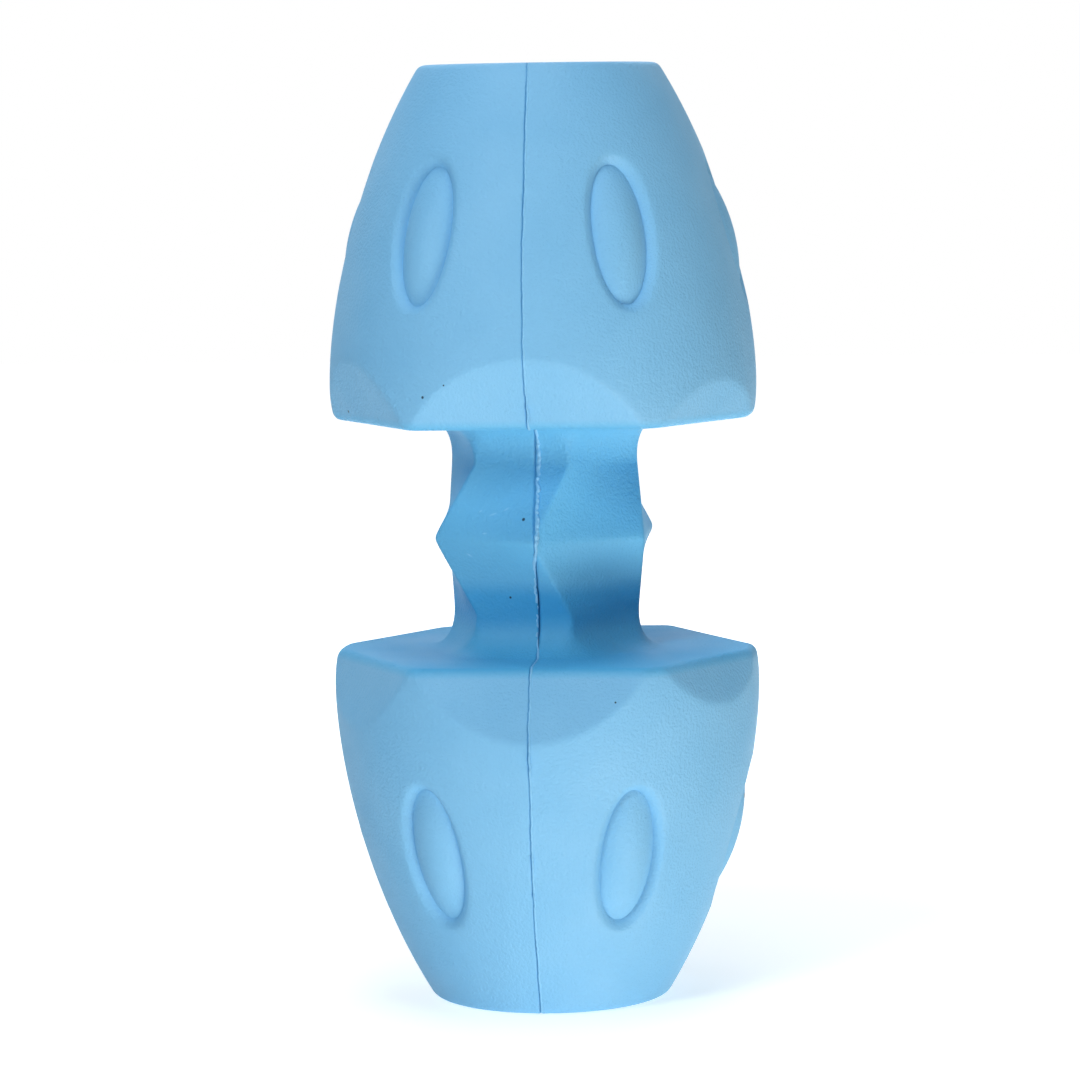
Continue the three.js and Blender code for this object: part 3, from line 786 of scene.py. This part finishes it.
def moulded_shell_rubber(finish):
    """Rubber pressed in a blasted steel mould. To the eye it is a soft satin skin with a fine pebble, cloudy where the
    pigment mixed unevenly, with drag lines along the mould's pull, a few grains of grit and a few scuffs."""
    material, tree, spot = new_tree("moulded_shell_rubber")
    # clouds of pigment about 14 mm across
    clouds = mottled(tree, spot, size=14, detail=3)
    tone = blended(tree, clouds, finish.shell, finish.shell_deep)

    # painted shade in the waist: the neck is painted a deeper blue up to the shoulders, more of it towards its foot
    level = add_node(tree, "SeparateXYZ", {0: spot})["Z"]
    off = worked_out(tree, "SUBTRACT", level, MIDDLE * MM)
    painted_waist_shade = ranged(tree, worked_out(tree, "ABSOLUTE", off), (20.8 * MM, 22.4 * MM), (1, 0))
    foot = ranged(tree, off, (-19 * MM, -9 * MM), (0.85, 0.58))
    tone = blended(tree, worked_out(tree, "MULTIPLY", foot, painted_waist_shade), tone, finish.painted_waist_shade)
    # painted shade under the ridge: the deepest blue where the neck's faces lean downwards
    under = worked_out(tree, "ABSOLUTE", worked_out(tree, "ADD", off, 12 * MM))
    under = ranged(tree, under, (1.5 * MM, 5.5 * MM), (0.65, 0), interpolation_type="SMOOTHSTEP")
    tone = blended(tree, under, tone, finish.under)

    # painted shade: a dark line in the creases round the pads and along the seam
    painted_crease_shade = add_node(tree, "Attribute", attribute_name="painted_crease_shade")["Fac"]
    tone = blended(tree, painted_crease_shade, tone, finish.painted_crease_shade)
    # grains of grit, each a ball about its place with an edge half as wide as it is
    for place_mm, size in GRIT:
        far = add_node(tree, "VectorMath", {0: spot, 1: [p * MM for p in place_mm]}, operation="DISTANCE")
        grain = ranged(tree, far["Value"], (size * MM, 1.5 * size * MM), (1, 0))
        tone = blended(tree, grain, tone, finish.speck)
    # scuffs: paler streaks 0.4 mm wide, each an ellipsoid about its place
    for place_mm, reach, tilt in SCUFFS:
        near = add_node(tree, "Mapping", {
            "Vector": spot, "Location": [p * MM for p in place_mm], "Rotation": (0, -math.radians(tilt), 0),
            "Scale": (reach * MM, 2 * MM, 0.2 * MM)}, vector_type="TEXTURE")
        far = add_node(tree, "VectorMath", {0: near["Vector"]}, operation="LENGTH")
        tone = blended(tree, ranged(tree, far["Value"], (0.3, 1), (0.5, 0)), tone, finish.flash)

    # drag lines 0.7 mm apart and 30 mm long, and a pebble of 0.5 mm, coarser than the real 0.2 mm so that it shows
    pulled = add_node(tree, "Mapping", {"Vector": spot, "Scale": (1, 1, 0.7 / 30)})
    drag = mottled(tree, pulled["Vector"], size=0.7, detail=1)
    pebble = mottled(tree, spot, size=0.5, detail=2)
    skin = add_node(tree, "Mix", {0: 0.25, 2: pebble, 3: drag})[0]
    sheen = ranged(tree, clouds, (0.3, 0.7), (0.56, 0.68))
    rubber_skin(tree, tone, sheen, skin, strength=0.8, depth=0.3, specular=0.42)
    return material


def torn_flash_rubber(finish):
    """The same rubber where the mould's flash was torn off. To the eye it is paler and duller, with a crumbly grain."""
    material, tree, spot = new_tree("torn_flash_rubber")
    # crumbs of 0.3 mm, coarser than the real ones so that they show
    crumbs = mottled(tree, spot, size=0.3, detail=2)
    tone = blended(tree, crumbs, finish.flash, finish.shell)
    rubber_skin(tree, tone, 0.7, crumbs, strength=0.6, depth=0.1, specular=0.25)
    return material


def moulded_gate_rubber(finish):
    """Softer rubber from a polished mould. To the eye it is a deeper blue, a little glossier than the shells, with the
    same fine cloud of pigment and a faint pebble."""
    material, tree, spot = new_tree("moulded_gate_rubber")
    # clouds of pigment about 5 mm across
    clouds = mottled(tree, spot, size=5, detail=3)
    tone = blended(tree, clouds, finish.gate, finish.shell_deep)
    # a pebble of 0.4 mm, coarser than the real one so that it shows
    pebble = mottled(tree, spot, size=0.4, detail=2)
    sheen = ranged(tree, clouds, (0.3, 0.7), (0.4, 0.5))
    rubber_skin(tree, tone, sheen, pebble, strength=0.25, depth=0.05, specular=0.5)
    return material


def seen_directly(tree):
    """One for a ray from the camera, from a mirror or through glass, and nought for light that spreads."""
    path = add_node(tree, "LightPath")
    seen = worked_out(tree, "MAXIMUM", path["Is Camera Ray"], path["Is Glossy Ray"])
    return worked_out(tree, "MAXIMUM", seen, path["Is Transmission Ray"])


def painted_floor(finish, backdrop):
    """Matt white paint on board. To the eye it is plain white, and it keeps the toy's soft shadow."""
    material, tree, spot = new_tree("matt_painted_floor")
    paint = add_node(tree, "BsdfDiffuse", {"Color": (*finish.floor, 1)})
    far = add_node(tree, "VectorMath", {0: spot}, operation="LENGTH")["Value"]
    # plain white from 0.1 to 0.4 m outwards
    rest = ranged(tree, far, (0.1, 0.4), (backdrop, 1))
    white = add_node(tree, "Emission", {"Strength": worked_out(tree, "MULTIPLY", seen_directly(tree), rest)})
    both = add_node(tree, "AddShader", {0: paint[0], 1: white[0]})
    add_node(tree, "OutputMaterial", {"Surface": both[0]})
    return material


class TOY_OT_half_shells(Operator):
    """Make the two half shells, with facets, pads, neck and hollow"""
    bl_idname = "toy.half_shells"
    bl_label = "Half Shells"

    def execute(self, context):
        sizes = toy_sizes(context)
        material = moulded_shell_rubber(context.scene.dog_toy.finish)
        for half, node in enumerate(HALVES):
            points, painted_crease_shade = half_shell(half, sizes)
            piece = grid_object(node + "_skin", points, True, False)
            attribute = piece.data.attributes.new("painted_crease_shade", "FLOAT", "POINT")
            attribute.data.foreach_set("value", painted_crease_shade.astype(np.float32).ravel())
            place(piece, node, "toy_body", material)
        return {"FINISHED"}


class TOY_OT_seam_flash(Operator):
    """Make the torn flash along the front and back seams"""
    bl_idname = "toy.seam_flash"
    bl_label = "Seam Flash"

    def execute(self, context):
        sizes = toy_sizes(context)
        material = torn_flash_rubber(context.scene.dog_toy.finish)
        for seam_side, (name, node) in enumerate(zip(("front", "back"), HALVES)):
            piece = grid_object(f"{name}_seam_flash", seam_flash(seam_side, sizes), False, True)
            place(piece, node, "toy_body", material)
        return {"FINISHED"}


class TOY_OT_gates(Operator):
    """Make the two gates, each a ring and six petals that swing on it"""
    bl_idname = "toy.gates"
    bl_label = "Gates"

    def execute(self, context):
        sizes = toy_sizes(context)
        gate, lobe, hollow = sizes.gate, sizes.lobe, sizes.hollow
        material = moulded_gate_rubber(context.scene.dog_toy.finish)
        lift = sizes.neck.length / 2 + lobe.height - hollow.mouth_depth - gate.clearance - gate.thickness / 2
        for end, side in ENDS:
            level = MIDDLE + side * lift
            ring = grid_object(f"{end}_gate_ring_skin", gate_ring(level, gate), True, True)
            place(ring, f"{end}_gate_ring", "toy_body", material)
            for k in range(PETALS):
                node = f"{end}_gate_petal_{k + 1}"
                petal = grid_object(node + "_skin", gate_petal(level, k * SIXTH, gate), False, True)
                place(petal, node, node, material)
        return {"FINISHED"}


class TOY_OT_stage(Operator):
    """Set up the pale floor, the soft studio light and the camera"""
    bl_idname = "toy.stage"
    bl_label = "Stage"

    def execute(self, context):
        scene = context.scene
        finish, stage = scene.dog_toy.finish, scene.dog_toy.stage
        scene.view_settings.view_transform = "Standard"

        sheet = bpy.data.meshes.new("floor")
        half, below = 2, 0.2 * MM
        corners = ((-half, -half, -below), (half, -half, -below), (half, half, -below), (-half, half, -below))
        sheet.from_pydata(corners, [], [(0, 1, 2, 3)])
        floor = bpy.data.objects.new("floor", sheet)
        sheet.materials.append(painted_floor(finish, stage.backdrop))
        floor.visible_shadow = False
        scene.collection.objects.link(floor)

        world = bpy.data.worlds.new("studio")
        world.use_nodes = True
        tree = world.node_tree
        tree.nodes.clear()
        soft, white = (add_node(tree, "Background", {"Color": (1, 1, 1, 1), "Strength": strength})[0]
                       for strength in (stage.world, 1))
        both = add_node(tree, "MixShader", {0: seen_directly(tree), 1: soft, 2: white})
        add_node(tree, "OutputWorld", {"Surface": both[0]})
        scene.world = world

        middle = Vector((0, 0, MIDDLE * MM))
        for name, spot, size, power, tint in LAMPS:
            data = bpy.data.lights.new(name, "AREA")
            data.color = linear(tint)
            data.size = size * MM
            data.energy = power
            lamp = bpy.data.objects.new(name, data)
            lamp.location = [part * MM for part in spot]
            lamp.rotation_euler = (middle - lamp.location).to_track_quat("-Z", "Y").to_euler()
            lamp.visible_camera = False
            scene.collection.objects.link(lamp)

        camera = bpy.data.cameras.new("camera")
        camera.sensor_width = 36
        camera.lens = stage.lens
        camera.clip_start, camera.clip_end = 0.01, 20
        view = bpy.data.objects.new("camera", camera)
        # upright in front of the toy and carried round it, then panned, tilted and rolled
        placed = Matrix.Rotation(stage.azimuth, 4, "Z") @ Matrix.Translation((0, -stage.distance, stage.height))
        for turn, axis in ((math.pi / 2, "X"), (stage.pan, "Y"), (-stage.tilt, "X"), (-stage.roll, "Z")):
            placed = placed @ Matrix.Rotation(turn, 4, axis)
        view.matrix_world = placed
        scene.collection.objects.link(view)
        scene.camera = view
        return {"FINISHED"}


class TOY_PT_panel(Panel):
    """Settings and operators of the toy"""
    bl_idname = "TOY_PT_panel"
    bl_label = "Dog Toy"
    bl_space_type = "VIEW_3D"
    bl_region_type = "UI"
    bl_category = "Dog Toy"

    def draw(self, context):
        toy = context.scene.dog_toy
        for operator in OPERATORS:
            self.layout.operator(operator.bl_idname)
        for name in toy.bl_rna.properties.keys():
            group = getattr(toy, name)
            if isinstance(group, PropertyGroup):
                box = self.layout.box()
                box.label(text=group.bl_rna.description)
                for key, kind in group.bl_rna.properties.items():
                    if kind.type == "FLOAT":
                        box.prop(group, key)


OPERATORS = (TOY_OT_half_shells, TOY_OT_seam_flash, TOY_OT_gates, TOY_OT_stage)
GROUPS = (LobeSizes, PadSizes, NeckSizes, HollowSizes, GateSizes, SeamSizes, FinishColours, StageSettings, ToySettings)
CLASSES = (*GROUPS, *OPERATORS, TOY_PT_panel)


def register():
    """Makes the classes and the settings known to Blender."""
    for each in CLASSES:
        bpy.utils.register_class(each)
    bpy.types.Scene.dog_toy = PointerProperty(type=ToySettings)


def unregister():
    """Takes the classes and the settings back."""
    del bpy.types.Scene.dog_toy
    for each in reversed(CLASSES):
        bpy.utils.unregister_class(each)


def main():
    """Makes the toy and its stage."""
    register()
    bpy.ops.toy.half_shells()
    bpy.ops.toy.seam_flash()
    bpy.ops.toy.gates()
    bpy.ops.toy.stage()


if __name__ == "__main__":
    main()
